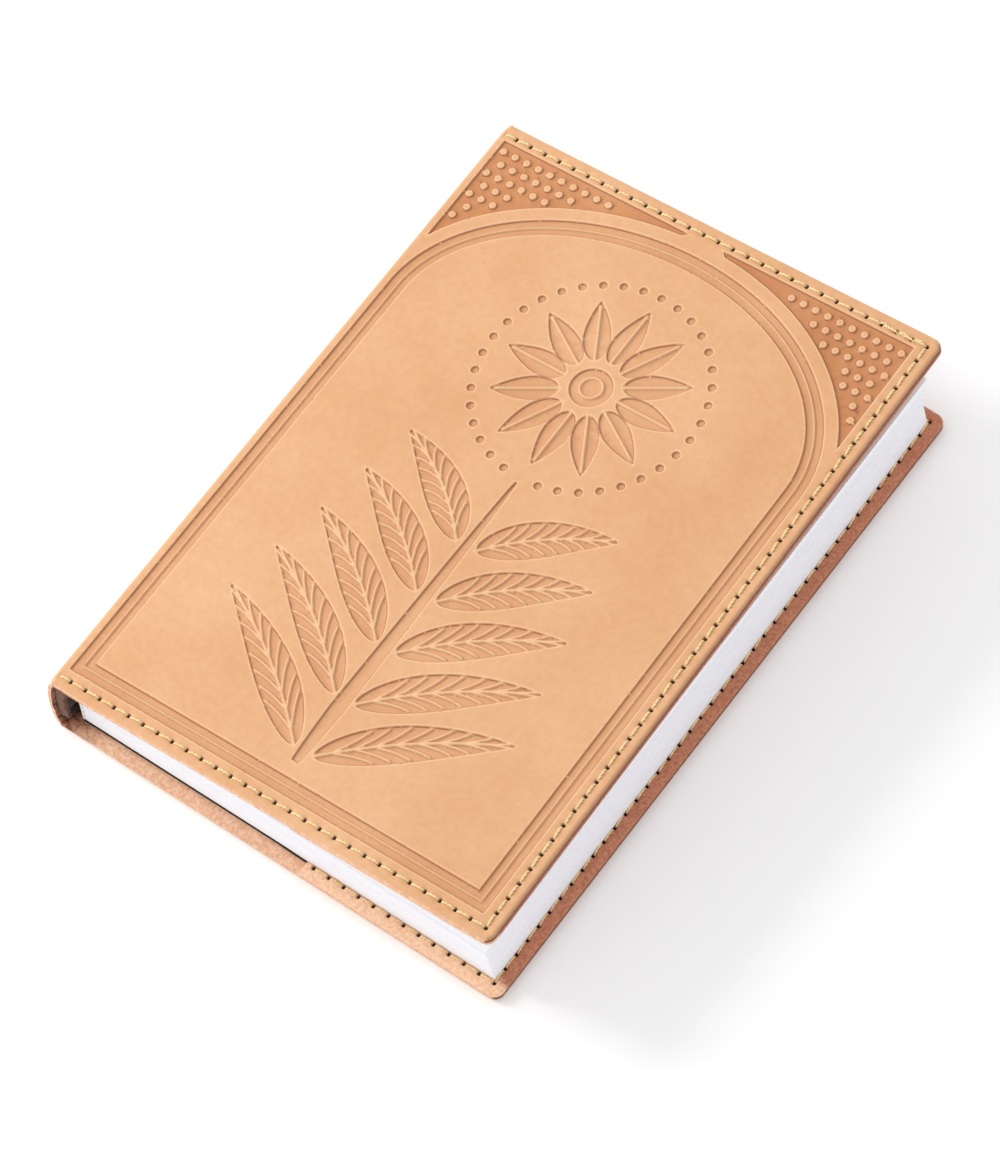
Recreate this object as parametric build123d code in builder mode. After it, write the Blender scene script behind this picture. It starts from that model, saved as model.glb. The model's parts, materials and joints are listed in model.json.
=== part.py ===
"""Leather notebook cover that wraps an A5-class refill, closed with its front board sprung open.

Frame: +X from the spine to the fore edge, +Y from tail to head, +Z up through the pages.
The back board lies flat on Z = 0, and the origin is the middle of the box's base.
All sizes are in millimetres. A cross-section across the spine is drawn on Plane.XZ
and extruded both ways along Y, because the cover is the same all along its spine.
"""
from build123d import *
from math import cos, radians, sin, tan
import os

# ---------------------------------------------------------------- driving dimensions
# The refill: a sewn stack of paper with a thin card on each side.
page_width = 142.5
page_height = 210.0
signature_count = 6
signature_thickness = 2.5
loose_group_count = 5
loose_group_thickness = 0.9
loose_group_gap = 0.1
loose_group_fan = 0.4          # degrees that each loose group opens past the one under it
hinge_setback = 2.0            # bare strip between the paper hinge line and the loose leaves
card_thickness = 0.7
mull_thickness = 0.6
mull_short = 0.4               # how far the glued strip stops below the hinge line

# The leather.
leather_thickness = 1.8
pocket_thickness = 1.6
pocket_width = 68.0
spine_lining_thickness = 0.8
lining_setback = 1.5           # bare leather left round the spine lining
corner_radius = 3.0
edge_margin = 4.2              # cover past the pages, at head and tail
fore_margin = 3.8              # cover past the pages, at the fore edge
spine_gap = 5.7                # from the fold line of a board to the pages
fold_radius = 5.5              # outer radius of the leather where it folds
front_tilt = 6.2               # degrees that the closed front board stands open
spine_lean = 5.0               # degrees that the spine leans towards the fore edge

# The stitching.
stitch_inset = 3.5
thread_width = 0.8
thread_height = 0.5
groove_clearance = 0.1
seam_clearance = 1.2           # from the stitch line to the edge of the card inside
card_clearance = 0.3           # round the card in its pocket
card_lift = 0.05               # above the leather that the card lies on

# ---------------------------------------------------------------- sizes that follow
board_width = spine_gap + page_width + fore_margin
board_height = page_height + 2 * edge_margin
cover_stack = leather_thickness + pocket_thickness
fixed_pages = signature_count * signature_thickness
loose_pitch = loose_group_thickness + loose_group_gap
page_stack = fixed_pages + loose_group_count * loose_pitch
spine_rise = 2 * cover_stack + page_stack

lower_turn = 90 + spine_lean
upper_turn = 90 - spine_lean - front_tilt
inner_radius = fold_radius - leather_thickness
middle_radius = fold_radius - leather_thickness / 2
spine_plate = (spine_rise - fold_radius * (1 + cos(radians(front_tilt)))) / cos(radians(spine_lean))

# The box runs from the lower fold's round to the inner corner of the front board.
front_reach = (
    spine_plate * sin(radians(spine_lean))
    - fold_radius * sin(radians(front_tilt))
    + board_width * cos(radians(front_tilt))
    + cover_stack * sin(radians(front_tilt))
)
fold_x = (fold_radius - front_reach) / 2
block_x = fold_x + spine_gap
hinge_z = cover_stack + fixed_pages


def polar(centre, radius, angle):
    """Return the point at an angle, in degrees, on a circle in the cross-section."""
    return (centre[0] + radius * cos(radians(angle)), centre[1] + radius * sin(radians(angle)))


lower_centre = (fold_x, fold_radius)
upper_centre = polar(lower_centre, spine_plate, 90 - spine_lean)
front_start = polar(upper_centre, fold_radius, 90 + front_tilt)

# Each board has a plane on its outer face: x from the fold line, y along the spine, z out.
front_face = Plane(
    origin=(front_start[0], 0, front_start[1]),
    x_dir=(cos(radians(front_tilt)), 0, sin(radians(front_tilt))),
    z_dir=(-sin(radians(front_tilt)), 0, cos(radians(front_tilt))),
)
back_face = Plane(origin=(fold_x, 0, 0), x_dir=(1, 0, 0), z_dir=(0, 0, -1))
# The spine's plane starts where the lower fold ends and has its x up the spine.
spine_start = polar(lower_centre, fold_radius, 180 - spine_lean)
spine_face = Plane(
    origin=(spine_start[0], 0, spine_start[1]),
    x_dir=(sin(radians(spine_lean)), 0, cos(radians(spine_lean))),
    z_dir=(-cos(radians(spine_lean)), 0, sin(radians(spine_lean))),
)

pocket_mouth = board_width - pocket_width
card_end = board_width - stitch_inset - seam_clearance
card_half_height = board_height / 2 - stitch_inset - seam_clearance
run_y = board_height / 2 - stitch_inset
run_x = board_width - stitch_inset


def board_outline(start):
    """Draw a board from start to its fore edge, with both fore corners rounded."""
    with Locations(((start + board_width) / 2, 0)):
        Rectangle(board_width - start, board_height)
    fore_corners = vertices().group_by(Axis.X)[-1]
    fillet(fore_corners, corner_radius)


def stitch_run(start, width):
    """Draw the U of a stitch line: tail, fore edge and head, from start outwards."""
    reach = run_x + width / 2 - start
    with Locations((start + reach / 2, run_y), (start + reach / 2, -run_y)):
        Rectangle(reach, width)
    with Locations((run_x, 0)):
        Rectangle(width, board_height - 2 * stitch_inset + width)


def card_outline(clearance):
    """Draw the refill's card, grown by a clearance on the sides that the pocket closes."""
    reach = card_end + clearance - spine_gap
    with Locations((spine_gap + reach / 2, 0)):
        Rectangle(reach, 2 * (card_half_height + clearance))


def keep(piece, name):
    """Give a finished piece its name and write its STEP file."""
    piece.part.label = name
    export_step(piece.part, f"parts/{name}.step")


os.makedirs("parts", exist_ok=True)

# ---------------------------------------------------------------- the two boards
for side, face in (("back", back_face), ("front", front_face)):
    inner_face = face.offset(-leather_thickness)
    pocket_face = face.offset(-cover_stack)

    # The outer leather, with a shallow groove pressed for its stitches.
    with BuildPart() as leather:
        with BuildSketch(face):
            board_outline(0)
        extrude(amount=-leather_thickness)
        with BuildSketch(face):
            stitch_run(0, thread_width + 2 * groove_clearance)
        extrude(amount=-thread_height, mode=Mode.SUBTRACT)
    keep(leather, f"{side}_cover_leather")

    # The pocket: sewn at three edges, hollowed where the card slides in.
    with BuildPart() as pocket:
        with BuildSketch(inner_face):
            board_outline(pocket_mouth)
        extrude(amount=-pocket_thickness)
        with BuildSketch(inner_face):
            card_outline(card_clearance)
        extrude(amount=-(card_thickness + 2 * card_lift), mode=Mode.SUBTRACT)
        with BuildSketch(pocket_face):
            stitch_run(pocket_mouth, thread_width + 2 * groove_clearance)
        extrude(amount=thread_height, mode=Mode.SUBTRACT)
    keep(pocket, f"{side}_pocket")

    # The waxed thread, as it lies on the outside and on the pocket's face.
    with BuildPart() as outer_thread:
        with BuildSketch(face):
            stitch_run(0, thread_width)
        extrude(amount=-thread_height)
    keep(outer_thread, f"{side}_outer_thread")

    with BuildPart() as inner_thread:
        with BuildSketch(pocket_face):
            stitch_run(pocket_mouth, thread_width)
        extrude(amount=thread_height)
    keep(inner_thread, f"{side}_inner_thread")

    # The refill's card, held in the pocket.
    with BuildPart() as card:
        with BuildSketch(inner_face.offset(-card_lift)):
            card_outline(0)
        extrude(amount=-card_thickness)
    keep(card, f"refill_{side}_card")

# ---------------------------------------------------------------- the spine
with BuildPart() as spine_leather:
    with BuildSketch(spine_face):
        with Locations((spine_plate / 2, 0)):
            Rectangle(spine_plate, board_height)
    extrude(amount=-leather_thickness)
    with BuildSketch(spine_face):
        with Locations((spine_plate / 2, run_y), (spine_plate / 2, -run_y)):
            Rectangle(spine_plate, thread_width + 2 * groove_clearance)
    extrude(amount=-thread_height, mode=Mode.SUBTRACT)
keep(spine_leather, "spine_leather")

with BuildPart() as spine_thread:
    with BuildSketch(spine_face):
        with Locations((spine_plate / 2, run_y), (spine_plate / 2, -run_y)):
            Rectangle(spine_plate, thread_width)
    extrude(amount=-thread_height)
keep(spine_thread, "spine_thread")

with BuildPart() as spine_lining:
    with BuildSketch(spine_face.offset(-leather_thickness)):
        with Locations((spine_plate / 2, 0)):
            Rectangle(spine_plate - 2 * lining_setback, board_height - 2 * lining_setback)
    extrude(amount=-spine_lining_thickness)
keep(spine_lining, "spine_lining")

# The leather bends round a quarter turn on each side of the spine.
folds = (
    ("spine_fold_lower", lower_centre, 270, -lower_turn),
    ("spine_fold_upper", upper_centre, 180 - spine_lean, -upper_turn),
)
for name, centre, first, turn in folds:
    with BuildPart() as fold:
        with BuildSketch(Plane.XZ):
            with BuildLine():
                outside = CenterArc(centre, fold_radius, first, turn)
                inside = CenterArc(centre, inner_radius, first, turn)
                Line(outside @ 0, inside @ 0)
                Line(outside @ 1, inside @ 1)
            make_face()
        extrude(amount=board_height / 2, both=True)
    keep(fold, name)

# ---------------------------------------------------------------- the refill's pages
# The lower signatures stay on the back board. Each has a folded, rounded back.
for index in range(signature_count):
    base = cover_stack + index * signature_thickness
    with BuildPart() as signature:
        with BuildSketch(Plane.XY.offset(base)):
            with Locations((block_x + page_width / 2, 0)):
                Rectangle(page_width, page_height)
        extrude(amount=signature_thickness)
        folded_edges = signature.edges().filter_by(Axis.Y).group_by(Axis.X)[0]
        fillet(folded_edges, signature_thickness * 0.4)
    keep(signature, f"signature_{index + 1:02d}")

# The glued cloth strip down their backs.
with BuildPart() as mull:
    with BuildSketch(Plane.XY.offset(cover_stack)):
        with Locations((block_x - mull_thickness / 2, 0)):
            Rectangle(mull_thickness, page_height)
    extrude(amount=fixed_pages - mull_short)
keep(mull, "refill_mull")

# The upper leaves turn with the cover, in groups that share one hinge line.
for index in range(loose_group_count):
    tilt = radians((index + 1) * loose_group_fan)
    leaf_plane = Plane(
        origin=(block_x, 0, hinge_z),
        x_dir=(cos(tilt), 0, sin(tilt)),
        z_dir=(-sin(tilt), 0, cos(tilt)),
    )
    leaf_length = page_width - hinge_setback
    with BuildPart() as leaves:
        with BuildSketch(leaf_plane.offset(loose_group_gap + index * loose_pitch)):
            with Locations((hinge_setback + leaf_length / 2, 0)):
                Rectangle(leaf_length, page_height)
        extrude(amount=loose_group_thickness)
    keep(leaves, f"page_group_{index + 1:02d}")

# ---------------------------------------------------------------- hinge lines
# A fold of leather turns as if about one line: the one that keeps its length when it lies flat.


def fold_axis(start, along, inward, turn):
    """Return the line that a fold turns about, from its start on the leather's middle layer."""
    length = middle_radius * radians(turn)
    depth = middle_radius - length / 2 / tan(radians(turn) / 2)
    return (start + along * (length / 2) + inward * depth)


lower_axis = fold_axis(
    Vector(fold_x, 0, leather_thickness / 2), Vector(-1, 0, 0), Vector(0, 0, 1), lower_turn
)
upper_axis = fold_axis(
    front_face.offset(-leather_thickness / 2).origin, -front_face.x_dir, -front_face.z_dir, upper_turn
)
print(f"cover {board_width:.1f} x {board_height:.1f}, spine rise {spine_rise:.2f}, plate {spine_plate:.2f}")
print(f"lower fold axis x {lower_axis.X:.3f} z {lower_axis.Z:.3f}, turns {lower_turn:.1f} degrees")
print(f"upper fold axis x {upper_axis.X:.3f} z {upper_axis.Z:.3f}, turns {upper_turn:.1f} degrees")
print(f"page hinge x {block_x:.3f} z {hinge_z:.3f}")
print(f"fold line x {fold_x:.3f}, front board starts x {front_start[0]:.3f} z {front_start[1]:.3f}")
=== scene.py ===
# %% [markdown]
# # A hand-stitched leather notebook cover
# The cover is one piece of vegetable-tanned leather wrapped round a paper refill. Its front
# board is pressed with a panel of leaves and stands a little open, because leather that has been
# folded round a spine springs back. The CAD model gives the boards, the folds and the hinge
# lines. Here every visible surface is remade with the detail that the real material has.

# %% Load the frame
import json
import math

import bpy
import bmesh
import numpy as np
from mathutils import Matrix, Vector
from mathutils.geometry import delaunay_2d_cdt


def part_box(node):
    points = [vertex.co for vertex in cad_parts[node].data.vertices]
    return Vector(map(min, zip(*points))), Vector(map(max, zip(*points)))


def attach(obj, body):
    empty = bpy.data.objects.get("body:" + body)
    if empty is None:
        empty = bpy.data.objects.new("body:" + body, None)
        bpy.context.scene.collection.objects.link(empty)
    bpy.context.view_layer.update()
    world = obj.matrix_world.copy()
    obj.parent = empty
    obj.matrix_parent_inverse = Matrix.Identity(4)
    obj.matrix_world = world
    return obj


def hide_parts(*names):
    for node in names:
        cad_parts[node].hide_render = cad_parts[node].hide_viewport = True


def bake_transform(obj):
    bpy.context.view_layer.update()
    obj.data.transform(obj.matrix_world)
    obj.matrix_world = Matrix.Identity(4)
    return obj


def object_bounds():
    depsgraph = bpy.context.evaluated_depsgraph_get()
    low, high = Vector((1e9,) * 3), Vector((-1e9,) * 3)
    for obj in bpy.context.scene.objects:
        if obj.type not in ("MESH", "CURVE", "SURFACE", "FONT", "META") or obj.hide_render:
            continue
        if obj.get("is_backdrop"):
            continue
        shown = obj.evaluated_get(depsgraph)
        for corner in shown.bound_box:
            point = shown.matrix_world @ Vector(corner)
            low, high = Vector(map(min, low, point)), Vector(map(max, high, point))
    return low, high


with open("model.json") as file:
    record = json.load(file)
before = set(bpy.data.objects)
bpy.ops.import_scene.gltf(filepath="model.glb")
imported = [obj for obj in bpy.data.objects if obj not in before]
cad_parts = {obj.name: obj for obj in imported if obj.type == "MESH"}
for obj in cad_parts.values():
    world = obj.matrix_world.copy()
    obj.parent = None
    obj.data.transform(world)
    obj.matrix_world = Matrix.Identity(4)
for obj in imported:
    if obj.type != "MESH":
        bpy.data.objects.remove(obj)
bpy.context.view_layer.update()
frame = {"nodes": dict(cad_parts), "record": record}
MM = 0.001

# %% [markdown]
# ## Sizes
# The boards' sizes and places are read from the CAD nodes' boxes, so a piece that is drawn in
# millimetres on a board lands where the CAD board is. `u` runs from the fold line to the fore
# edge, `v` from tail to head, and `h` stands out of the board's outer face.

# %% Sizes of the boards
back_low, back_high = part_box("back_cover_leather")
board_width = (back_high.x - back_low.x) / MM
board_height = (back_high.y - back_low.y) / MM
leather_thick = (back_high.z - back_low.z) / MM
fold_x = back_low.x / MM
half_height = board_height / 2
corner_radius = 3.0
front_tilt = math.radians(6.2)
front_low, front_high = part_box("front_cover_leather")
front_x = front_low.x / MM
front_z = front_low.z / MM + leather_thick * math.cos(front_tilt)
front_twist = 3.2        # how far the head corner springs up and the tail corner stays down
pocket_low, pocket_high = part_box("back_pocket")
pocket_mouth = pocket_low.x / MM - fold_x
pocket_thick = (pocket_high.z - pocket_low.z) / MM
cover_stack = leather_thick + pocket_thick
stitch_inset = 3.5
stitch_pitch = 5.16
fold_shade_reach = 13.0        # how far from the fold the leather's inside is painted in shade, with crease marks
print(f"board {board_width:.1f} x {board_height:.1f} mm, front board from {front_x:.2f}, {front_z:.2f}")


# %% From a board's own millimetres to the row's metres
def front_point(u, v, h):
    """Place points of the front board, which is tilted open and a little twisted."""
    u, v, h = np.broadcast_arrays(u, v, h)
    reach = np.clip(u / board_width, 0, 1) ** 1.25
    height = h + front_twist * reach * v / half_height
    x = front_x + u * math.cos(front_tilt) - height * math.sin(front_tilt)
    z = front_z + u * math.sin(front_tilt) + height * math.cos(front_tilt)
    return np.stack([x, v, z], -1) * MM


def back_point(u, v, h):
    """Place points of the back board, whose outer face lies on the ground."""
    u, v, h = np.broadcast_arrays(u, v, h)
    return np.stack([fold_x + u, v, -h], -1) * MM


# %% [markdown]
# ## Camera, light and floor
# The object is seen from a corner, from high above, through a long lens. One broad soft light
# from the left models the pressing, because low relief only shows under light from one side.

# %% Camera
view_azimuth = math.radians(43.3)
view_elevation = math.radians(61.9)
view_roll = math.radians(8.3)
view_distance = 1.841
view_target = Vector((0.0011, -0.0014, 0))
camera_data = bpy.data.cameras.new("camera")
camera_data.sensor_width = 36
camera_data.lens = 203.5
camera = bpy.data.objects.new("camera", camera_data)
bpy.context.collection.objects.link(camera)
back_of_view = Vector((
    math.sin(view_azimuth) * math.cos(view_elevation),
    -math.cos(view_azimuth) * math.cos(view_elevation),
    math.sin(view_elevation),
))
camera.location = view_target + back_of_view * view_distance
level = (-back_of_view).to_track_quat("-Z", "Y").to_matrix()
camera.rotation_euler = (level @ Matrix.Rotation(-view_roll, 3, "Z")).to_euler()
camera_data.clip_start = 0.05
bpy.context.scene.camera = camera


# %% Lights
def area_light(name, where, aim, size, power, colour):
    """Add a square soft light that faces a point."""
    data = bpy.data.lights.new(name, "AREA")
    data.size = size
    data.energy = power
    data.color = colour
    lamp = bpy.data.objects.new(name, data)
    bpy.context.collection.objects.link(lamp)
    lamp.location = where
    lamp.rotation_euler = (Vector(aim) - Vector(where)).to_track_quat("-Z", "Y").to_euler()
    return lamp


area_light("key", (-0.99, -0.2, 0.7), (0, 0, 0.02), 0.45, 8.3, (1.0, 0.985, 0.96))
area_light("top", (-0.1, 0.35, 1.3), (0, 0, 0), 1.4, 1.0, (0.97, 0.985, 1.0))
world = bpy.data.worlds.new("studio")
bpy.context.scene.world = world
world.use_nodes = True
world.node_tree.nodes["Background"].inputs["Color"].default_value = (0.99, 0.99, 1.0, 1)
world.node_tree.nodes["Background"].inputs["Strength"].default_value = 0.92
bpy.context.scene.view_settings.view_transform = "Standard"
bpy.context.scene.view_settings.look = "None"


# %% [markdown]
# ## Mesh and node helpers
# Every piece is built as arrays of points and faces, then made a mesh object at the origin.
# Materials are short node trees, so a few helpers keep each one readable.

# %% Mesh helpers
def make_object(name, points, faces, material, smooth=True):
    """Make an object from points in metres and faces of any size."""
    mesh = bpy.data.meshes.new(name)
    mesh.from_pydata([tuple(p) for p in np.asarray(points).tolist()], [], faces)
    mesh.materials.append(material)
    mesh.polygons.foreach_set("use_smooth", [smooth] * len(mesh.polygons))
    mesh.update()
    piece = bpy.data.objects.new(name, mesh)
    bpy.context.collection.objects.link(piece)
    return piece


def add_attribute(piece, name, values):
    """Store one number at each point, for a material to read."""
    attribute = piece.data.attributes.new(name, "FLOAT", "POINT")
    attribute.data.foreach_set("value", np.asarray(values, np.float32))


def grid_faces(rows, columns, start=0):
    """Join a grid of points, stored row after row, into quads."""
    faces = []
    for i in range(rows - 1):
        for j in range(columns - 1):
            a = start + i * columns + j
            faces.append((a, a + 1, a + columns + 1, a + columns))
    return faces


def outward_only(piece):
    """Point every face of a closed mesh outwards, keeping its points in order."""
    mesh = bmesh.new()
    mesh.from_mesh(piece.data)
    bmesh.ops.recalc_face_normals(mesh, faces=mesh.faces)
    mesh.to_mesh(piece.data)
    mesh.free()


# %% Node helpers
def add_node(tree, kind, inputs=(), **settings):
    """Add a node, set its properties, and set or link its inputs by name or number."""
    node = tree.nodes.new(kind)
    for key, value in settings.items():
        setattr(node, key, value)
    for key, value in dict(inputs).items():
        if isinstance(value, bpy.types.NodeSocket):
            tree.links.new(value, node.inputs[key])
        else:
            node.inputs[key].default_value = value
    return node


def math_node(tree, operation, a, b=0.0, clamp=False):
    """Add a Math node and return its value."""
    return add_node(tree, "ShaderNodeMath", {0: a, 1: b}, operation=operation, use_clamp=clamp).outputs[0]


def mix_colour(tree, factor, a, b, blend="MIX"):
    """Mix two colours and return the result."""
    node = add_node(tree, "ShaderNodeMix", {0: factor, 6: a, 7: b}, data_type="RGBA", blend_type=blend)
    return node.outputs[2]


def ramp(tree, value, low, high):
    """Stretch a value so that low becomes 0 and high becomes 1."""
    node = add_node(tree, "ShaderNodeMapRange", {0: value, 1: low, 2: high}, clamp=True)
    return node.outputs[0]


def new_material(name):
    """Start a material and return it with its tree and its Principled shader."""
    material = bpy.data.materials.new(name)
    material.use_nodes = True
    tree = material.node_tree
    return material, tree, tree.nodes["Principled BSDF"]


def srgb(red, green, blue):
    """Turn a colour of 0 to 255 into the linear colour that shaders use."""
    linear = [((c / 255 + 0.055) / 1.055) ** 2.4 for c in (red, green, blue)]
    return (*linear, 1)


# %% [markdown]
# ## Leather grain, as a shared group
# Vegetable-tanned leather has fine pores, soft long creases and a mottled colour where it took
# up oil. The outer leather, the pockets and the cut edges all use this, at different strengths,
# so it is one node group with named inputs.

# %% Leather grain group
grain = bpy.data.node_groups.new("leather_grain", "ShaderNodeTree")
for label, value in (("Pore Size", 2600.0), ("Pore Depth", 0.5), ("Mottle Size", 45.0)):
    socket = grain.interface.new_socket(label, in_out="INPUT", socket_type="NodeSocketFloat")
    socket.default_value = value
for label in ("Height", "Mottle", "Speck"):
    grain.interface.new_socket(label, in_out="OUTPUT", socket_type="NodeSocketFloat")
grain_in = add_node(grain, "NodeGroupInput")
place = add_node(grain, "ShaderNodeTexCoord").outputs["Object"]
pores = add_node(grain, "ShaderNodeTexVoronoi", {"Vector": place, "Scale": grain_in.outputs["Pore Size"]})
fine = add_node(grain, "ShaderNodeTexNoise", {"Vector": place, "Scale": 1500.0, "Detail": 4.0})
broad = add_node(grain, "ShaderNodeTexNoise", {"Vector": place, "Scale": grain_in.outputs["Mottle Size"],
                                               "Detail": 5.0, "Roughness": 0.6})
speck = add_node(grain, "ShaderNodeTexNoise", {"Vector": place, "Scale": 420.0, "Detail": 3.0})
pore_height = math_node(grain, "MULTIPLY", pores.outputs["Distance"], grain_in.outputs["Pore Depth"])
grain_height = math_node(grain, "ADD", pore_height, math_node(grain, "MULTIPLY", fine.outputs[0], 0.6))
grain_out = add_node(grain, "NodeGroupOutput")
grain.links.new(grain_height, grain_out.inputs["Height"])
grain.links.new(broad.outputs[0], grain_out.inputs["Mottle"])
grain.links.new(speck.outputs[0], grain_out.inputs["Speck"])


def use_grain(tree, pore_size, pore_depth, mottle_size):
    """Place the grain group in a material's tree."""
    node = add_node(tree, "ShaderNodeGroup", node_tree=grain)
    node.inputs["Pore Size"].default_value = pore_size
    node.inputs["Pore Depth"].default_value = pore_depth
    node.inputs["Mottle Size"].default_value = mottle_size
    return node


# %% [markdown]
# ## The outer leather
# The raised leather is pale tan. Pressing closes its surface, so a pressed area is a deeper
# orange and a little glossier. The foot of each pressed wall holds a dark line that is partly
# burnish and partly painted shade, and the raised shoulder beside it gets a painted highlight.
# Attributes carry these from the mesh, with one more for the painted shade in the stitch holes.
# `raw` marks the cut edge, where the fibres show, and one more attribute paints the fore side of
# that edge brown as shade, because it faces away from the key light.

# %% Crease lines where leather bends
def crease_lines(tree, place):
    """Return 1 on a net of irregular lines about 4 mm apart, and 0 between them."""
    wander = add_node(tree, "ShaderNodeTexNoise", {"Vector": place, "Scale": 420.0,
                                                   "Detail": 2.0}).outputs["Color"]
    bent = add_node(tree, "ShaderNodeVectorMath", {0: wander}, operation="SCALE")
    bent.inputs["Scale"].default_value = 0.003
    moved = add_node(tree, "ShaderNodeVectorMath", {0: place, 1: bent.outputs[0]},
                     operation="ADD").outputs[0]
    cells = add_node(tree, "ShaderNodeTexVoronoi", {"Vector": moved, "Scale": 270.0},
                     feature="DISTANCE_TO_EDGE").outputs[0]
    return math_node(tree, "SUBTRACT", 1.0, ramp(tree, cells, 0.01, 0.14))


# %% Outer leather material
def leather_material(name):
    """Make the outer leather's material."""
    material, tree, shader = new_material(name)
    skin = use_grain(tree, 2600.0, 0.35, 26.0)
    pressed = add_node(tree, "ShaderNodeAttribute", attribute_name="pressed").outputs["Fac"]
    wall_burnish_and_shade = add_node(tree, "ShaderNodeAttribute", attribute_name="wall_burnish_and_shade").outputs["Fac"]
    hole_shade = add_node(tree, "ShaderNodeAttribute", attribute_name="hole_shade").outputs["Fac"]
    raw = add_node(tree, "ShaderNodeAttribute", attribute_name="raw").outputs["Fac"]
    shade = add_node(tree, "ShaderNodeAttribute", attribute_name="fore_edge_shade").outputs["Fac"]
    shoulder_highlight = add_node(tree, "ShaderNodeAttribute", attribute_name="shoulder_highlight").outputs["Fac"]
    mottle = ramp(tree, skin.outputs["Mottle"], 0.3, 0.72)
    speck = ramp(tree, skin.outputs["Speck"], 0.35, 0.75)
    colour = mix_colour(tree, mottle, srgb(208, 156, 110), srgb(219, 172, 129))
    deep = mix_colour(tree, mottle, srgb(180, 115, 67), srgb(202, 141, 92))
    colour = mix_colour(tree, pressed, colour, deep)
    colour = mix_colour(tree, math_node(tree, "MULTIPLY", speck, 0.22), colour, srgb(187, 126, 82))
    # painted highlight on the raised shoulder beside each wall
    colour = mix_colour(tree, math_node(tree, "MULTIPLY", shoulder_highlight, 0.62), colour, srgb(236, 196, 154))
    # dark line at each wall's foot, partly burnish and partly painted shade
    colour = mix_colour(tree, math_node(tree, "MULTIPLY", wall_burnish_and_shade, 0.8), colour, srgb(136, 68, 32))
    fibre = add_node(tree, "ShaderNodeTexNoise", {"Scale": 900.0, "Detail": 6.0, "Roughness": 0.7,
                     "Vector": add_node(tree, "ShaderNodeTexCoord").outputs["Object"]}).outputs[0]
    cut = mix_colour(tree, ramp(tree, fibre, 0.35, 0.65), srgb(216, 160, 124), srgb(248, 206, 174))
    # painted shade near the fold, where the inside of the spine lies in shadow; real crease marks show
    # there too
    fold_shade_and_creases = math_node(tree, "MULTIPLY", raw, add_node(tree, "ShaderNodeAttribute",
                     attribute_name="fold_shade_and_creases").outputs["Fac"])
    cut = mix_colour(tree, math_node(tree, "MULTIPLY", fold_shade_and_creases, 0.9), cut, srgb(142, 76, 50))
    lines = crease_lines(tree, add_node(tree, "ShaderNodeTexCoord").outputs["Object"])
    cut = mix_colour(tree, math_node(tree, "MULTIPLY", fold_shade_and_creases, lines), cut, srgb(92, 42, 24))
    colour = mix_colour(tree, raw, colour, cut)
    # painted shade: the fore side of the cut edge faces away from the key light and turns brown
    colour = mix_colour(tree, shade, colour, srgb(116, 64, 42))
    # painted shade in the stitch holes
    colour = mix_colour(tree, hole_shade, colour, srgb(48, 24, 11))
    tree.links.new(colour, shader.inputs["Base Color"])
    rough = math_node(tree, "SUBTRACT", 0.58, math_node(tree, "MULTIPLY", pressed, 0.14))
    rough = math_node(tree, "ADD", rough, math_node(tree, "MULTIPLY", speck, 0.08))
    tree.links.new(math_node(tree, "ADD", rough, math_node(tree, "MULTIPLY", raw, 0.25)),
                   shader.inputs["Roughness"])
    shader.inputs["Specular IOR Level"].default_value = 0.4
    height = math_node(tree, "ADD", skin.outputs["Height"], math_node(tree, "MULTIPLY", raw, fibre))
    bump = add_node(tree, "ShaderNodeBump", {"Height": height, "Strength": 0.6, "Distance": 0.00014})
    tree.links.new(bump.outputs[0], shader.inputs["Normal"])
    return material


outer_leather = leather_material("outer_leather")

# %% [markdown]
# ## Drawing the pressed panel
# A press plate leaves flat sunken shapes with soft shoulders. Each shape is a closed outline on
# the board, drawn from a few points with a smooth curve or from a formula. Fine raised lines are
# strokes inside them. The panel is symmetric, so each motif is drawn once with x measured from
# the centre line, y from the panel's tail edge, and mirrored.

# %% Panel sizes
panel_height = 206.4
panel_half = 72.1
panel_centre = 73.4
panel_tail = -102.6
band_width = 5.2
arch_spring = 150.0
arch_rise = 51.0
press_depth = 0.62
panel_press = []        # what the plate does, in order: (kind, outline, amount)


def sink(outline, tint):
    """Press a closed outline flat. The tint says how much darker it turns."""
    panel_press.append(("sink", anticlockwise(np.asarray(outline, float)), tint))


def lift(outline):
    """Keep a closed outline raised inside what is pressed so far."""
    panel_press.append(("lift", anticlockwise(np.asarray(outline, float))[::-1], 0.0))


def ridge(points, half_width):
    """Keep a raised line inside what is pressed so far."""
    panel_press.append(("ridge", np.asarray(points, float), half_width))


def anticlockwise(outline):
    """Order an outline so that its inside lies to the left."""
    x, y = outline.T
    area = (x * np.roll(y, -1) - np.roll(x, -1) * y).sum()
    return outline if area > 0 else outline[::-1]


# %% Curve helpers
def smooth_curve(points, closed, step=0.7):
    """Run a Catmull-Rom curve through points, with samples about step apart."""
    p = np.asarray(points, float)
    if closed:
        p = np.vstack([p[-1], p, p[0], p[1]])
    else:
        p = np.vstack([2 * p[0] - p[1], p, 2 * p[-1] - p[-2]])
    runs = []
    for a, b, c, d in zip(p[:-3], p[1:-2], p[2:-1], p[3:]):
        count = max(2, int(np.linalg.norm(c - b) / step))
        t = np.arange(count)[:, None] / count
        runs.append(0.5 * (2 * b + (c - a) * t + (2 * a - 5 * b + 4 * c - d) * t**2
                           + (3 * b - a - 3 * c + d) * t**3))
    if not closed:
        runs.append(p[-2][None])
    return np.vstack(runs)


def ellipse(x, y, rx, ry, turn=0.0):
    """Draw an ellipse, turned by an angle in radians."""
    count = max(8, int(2 * math.pi * max(rx, ry) / 0.75))
    t = np.arange(count) * 2 * math.pi / count
    px, py = rx * np.cos(t), ry * np.sin(t)
    return np.stack([x + px * math.cos(turn) - py * math.sin(turn),
                     y + px * math.sin(turn) + py * math.cos(turn)], 1)


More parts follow.
